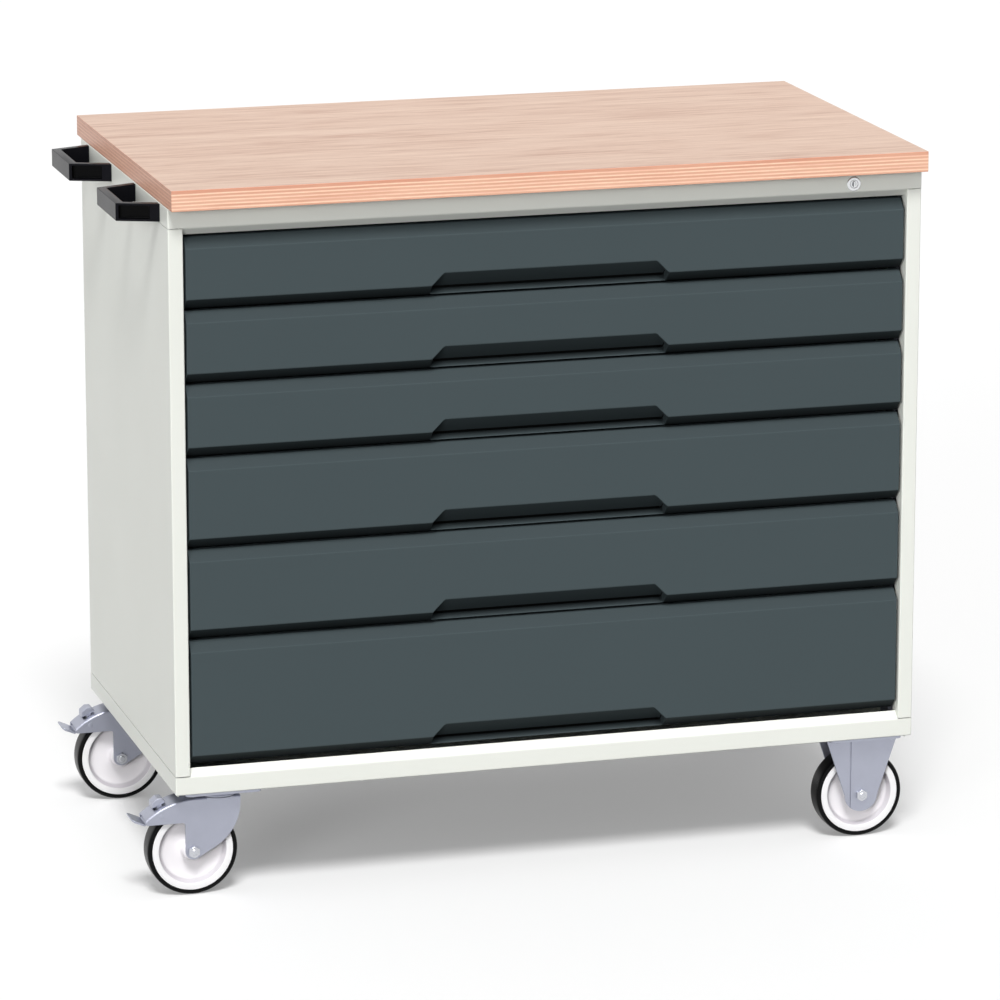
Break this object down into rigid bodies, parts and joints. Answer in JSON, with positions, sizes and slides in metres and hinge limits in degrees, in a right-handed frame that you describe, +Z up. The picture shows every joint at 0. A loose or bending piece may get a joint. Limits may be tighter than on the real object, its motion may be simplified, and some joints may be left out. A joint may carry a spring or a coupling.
{
  "type": "mobile workbench with drawers",
  "caption": "Mobile workbench: steel drawer cabinet with a multiplex worktop, grip-pocket drawers on telescopic slides, push handles, a cylinder lock and braked swivel and fixed castors.",
  "frame": {"origin": "on the floor, under the middle of the overall box", "axes": "+X to the right along the drawer fronts, +Y from the fronts to the back, +Z up"},
  "size_m": [1.1054, 0.6, 0.98],
  "materials": {
    "beech_multiplex": "oiled beech plywood",
    "light_grey_paint": "fine powder coat",
    "anthracite_paint": "fine powder coat",
    "tray_paint": "fine powder coat",
    "zinc_steel": "zinc plated",
    "bright_steel": "bright zinc plated",
    "lock_chrome": "polished",
    "black_plastic": "fine moulded grain",
    "wheel_plastic": "smooth moulded",
    "tyre_rubber": "smooth tread"
  },
  "bodies": {
    "cabinet": {"worktop": "beech_multiplex", "top_cap": "light_grey_paint", "left_side_panel": "light_grey_paint", "right_side_panel": "light_grey_paint", "back_panel": "light_grey_paint", "base_tray": "light_grey_paint", "slide_uprights": "zinc_steel", "cabinet_slides": "zinc_steel", "lock_housing": "lock_chrome", "push_handle_front": "black_plastic", "push_handle_rear": "black_plastic", "handle_screws": "bright_steel", "worktop_screws": "bright_steel", "castor_bolts": "bright_steel", "swivel_plates": "zinc_steel", "fixed_brackets": "zinc_steel", "fixed_axles": "bright_steel"},
    "lock_cylinder": {"lock_cylinder": "lock_chrome"},
    "lock_bar": {"lock_bar": "zinc_steel"},
    "drawer_1": {"drawer_1_front": "anthracite_paint", "drawer_1_tray": "tray_paint", "drawer_1_inner_slides": "zinc_steel"},
    "drawer_1_middle": {"drawer_1_middle_slides": "zinc_steel"},
    "drawer_2": {"drawer_2_front": "anthracite_paint", "drawer_2_tray": "tray_paint", "drawer_2_inner_slides": "zinc_steel"},
    "drawer_2_middle": {"drawer_2_middle_slides": "zinc_steel"},
    "drawer_3": {"drawer_3_front": "anthracite_paint", "drawer_3_tray": "tray_paint", "drawer_3_inner_slides": "zinc_steel"},
    "drawer_3_middle": {"drawer_3_middle_slides": "zinc_steel"},
    "drawer_4": {"drawer_4_front": "anthracite_paint", "drawer_4_tray": "tray_paint", "drawer_4_inner_slides": "zinc_steel"},
    "drawer_4_middle": {"drawer_4_middle_slides": "zinc_steel"},
    "drawer_5": {"drawer_5_front": "anthracite_paint", "drawer_5_tray": "tray_paint", "drawer_5_inner_slides": "zinc_steel"},
    "drawer_5_middle": {"drawer_5_middle_slides": "zinc_steel"},
    "drawer_6": {"drawer_6_front": "anthracite_paint", "drawer_6_tray": "tray_paint", "drawer_6_inner_slides": "zinc_steel"},
    "drawer_6_middle": {"drawer_6_middle_slides": "zinc_steel"},
    "front_fork": {"front_swivel_fork": "zinc_steel", "front_swivel_axle": "bright_steel", "front_brake_pin": "bright_steel"},
    "front_pedal": {"front_brake_pedal": "zinc_steel"},
    "front_swivel_wheel": {"front_swivel_rim": "wheel_plastic", "front_swivel_tyre": "tyre_rubber"},
    "front_fixed_wheel": {"front_fixed_rim": "wheel_plastic", "front_fixed_tyre": "tyre_rubber"},
    "rear_fork": {"rear_swivel_fork": "zinc_steel", "rear_swivel_axle": "bright_steel", "rear_brake_pin": "bright_steel"},
    "rear_pedal": {"rear_brake_pedal": "zinc_steel"},
    "rear_swivel_wheel": {"rear_swivel_rim": "wheel_plastic", "rear_swivel_tyre": "tyre_rubber"},
    "rear_fixed_wheel": {"rear_fixed_rim": "wheel_plastic", "rear_fixed_tyre": "tyre_rubber"}
  },
  "joints": [
    {"name": "drawer_1_slide", "type": "slide", "parent": "cabinet", "child": "drawer_1", "axis": [0, -1, 0], "range_m": [0, 0.5]},
    {"name": "drawer_1_middle_slide", "type": "slide", "parent": "cabinet", "child": "drawer_1_middle", "axis": [0, -1, 0], "range_m": [0, 0.25]},
    {"name": "drawer_2_slide", "type": "slide", "parent": "cabinet", "child": "drawer_2", "axis": [0, -1, 0], "range_m": [0, 0.5]},
    {"name": "drawer_2_middle_slide", "type": "slide", "parent": "cabinet", "child": "drawer_2_middle", "axis": [0, -1, 0], "range_m": [0, 0.25]},
    {"name": "drawer_3_slide", "type": "slide", "parent": "cabinet", "child": "drawer_3", "axis": [0, -1, 0], "range_m": [0, 0.5]},
    {"name": "drawer_3_middle_slide", "type": "slide", "parent": "cabinet", "child": "drawer_3_middle", "axis": [0, -1, 0], "range_m": [0, 0.25]},
    {"name": "drawer_4_slide", "type": "slide", "parent": "cabinet", "child": "drawer_4", "axis": [0, -1, 0], "range_m": [0, 0.5]},
    {"name": "drawer_4_middle_slide", "type": "slide", "parent": "cabinet", "child": "drawer_4_middle", "axis": [0, -1, 0], "range_m": [0, 0.25]},
    {"name": "drawer_5_slide", "type": "slide", "parent": "cabinet", "child": "drawer_5", "axis": [0, -1, 0], "range_m": [0, 0.5]},
    {"name": "drawer_5_middle_slide", "type": "slide", "parent": "cabinet", "child": "drawer_5_middle", "axis": [0, -1, 0], "range_m": [0, 0.25]},
    {"name": "drawer_6_slide", "type": "slide", "parent": "cabinet", "child": "drawer_6", "axis": [0, -1, 0], "range_m": [0, 0.5]},
    {"name": "drawer_6_middle_slide", "type": "slide", "parent": "cabinet", "child": "drawer_6_middle", "axis": [0, -1, 0], "range_m": [0, 0.25]},
    {"name": "lock_turn", "type": "hinge", "parent": "cabinet", "child": "lock_cylinder", "pos_m": [0.45475, -0.275, 0.936], "axis": [0, -1, 0], "range_deg": [0, 90]},
    {"name": "lock_bar_lift", "type": "slide", "parent": "cabinet", "child": "lock_bar", "axis": [0, 0, 1], "range_m": [0, 0.00848]},
    {"name": "front_swivel", "type": "hinge", "parent": "cabinet", "child": "front_fork", "pos_m": [-0.43025, -0.23, 0.146], "axis": [0, 0, 1], "continuous": true},
    {"name": "front_swivel_wheel_spin", "type": "hinge", "parent": "front_fork", "child": "front_swivel_wheel", "pos_m": [-0.46825, -0.23, 0.0625], "axis": [0, 1, 0], "continuous": true},
    {"name": "front_brake_press", "type": "hinge", "parent": "front_fork", "child": "front_pedal", "pos_m": [-0.51228, -0.23, 0.11497], "axis": [0, -1, 0], "range_deg": [0, 10]},
    {"name": "front_fixed_wheel_spin", "type": "hinge", "parent": "cabinet", "child": "front_fixed_wheel", "pos_m": [0.48775, -0.23, 0.0625], "axis": [0, 1, 0], "continuous": true},
    {"name": "rear_swivel", "type": "hinge", "parent": "cabinet", "child": "rear_fork", "pos_m": [-0.43025, 0.23, 0.146], "axis": [0, 0, 1], "continuous": true},
    {"name": "rear_swivel_wheel_spin", "type": "hinge", "parent": "rear_fork", "child": "rear_swivel_wheel", "pos_m": [-0.46825, 0.23, 0.0625], "axis": [0, 1, 0], "continuous": true},
    {"name": "rear_brake_press", "type": "hinge", "parent": "rear_fork", "child": "rear_pedal", "pos_m": [-0.51228, 0.23, 0.11497], "axis": [0, -1, 0], "range_deg": [0, 10]},
    {"name": "rear_fixed_wheel_spin", "type": "hinge", "parent": "cabinet", "child": "rear_fixed_wheel", "pos_m": [0.48775, 0.23, 0.0625], "axis": [0, 1, 0], "continuous": true}
  ],
  "couplings": [
    {"joint": "drawer_1_middle_slide", "follows": "drawer_1_slide", "ratio": 0.5},
    {"joint": "drawer_2_middle_slide", "follows": "drawer_2_slide", "ratio": 0.5},
    {"joint": "drawer_3_middle_slide", "follows": "drawer_3_slide", "ratio": 0.5},
    {"joint": "drawer_4_middle_slide", "follows": "drawer_4_slide", "ratio": 0.5},
    {"joint": "drawer_5_middle_slide", "follows": "drawer_5_slide", "ratio": 0.5},
    {"joint": "drawer_6_middle_slide", "follows": "drawer_6_slide", "ratio": 0.5},
    {"joint": "lock_turn", "follows": "lock_bar_lift", "rad_per_m": 185.12}
  ]
}
